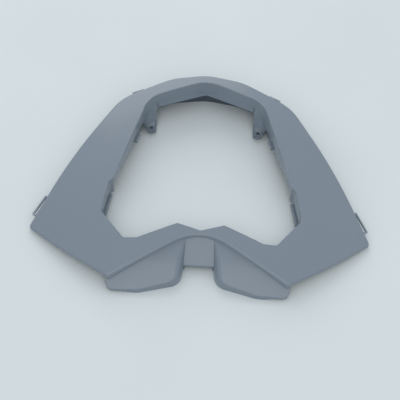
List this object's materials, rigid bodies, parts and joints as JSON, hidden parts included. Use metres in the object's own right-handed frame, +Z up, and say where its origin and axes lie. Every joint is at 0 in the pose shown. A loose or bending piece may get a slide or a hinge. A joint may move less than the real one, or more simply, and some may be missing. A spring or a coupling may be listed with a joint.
{
  "type": "scooter front apron",
  "caption": "Moulded front apron for a scooter: a crowned grey panel round a headlamp window, with a rolled crease, swept lower pods, screw towers and slotted edge loops.",
  "frame": {"origin": "middle of the box in X and Y, on the table the panel lies on", "axes": "+Z up out of the painted face, +Y towards the arch over the headlamp window, +X to the right as seen from the lower pods"},
  "size_m": [0.341, 0.245, 0.0411],
  "materials": {
    "apron_grey": "semi-gloss blue-grey"
  },
  "bodies": {
    "root": {"apron_shell": "apron_grey"}
  },
  "joints": []
}
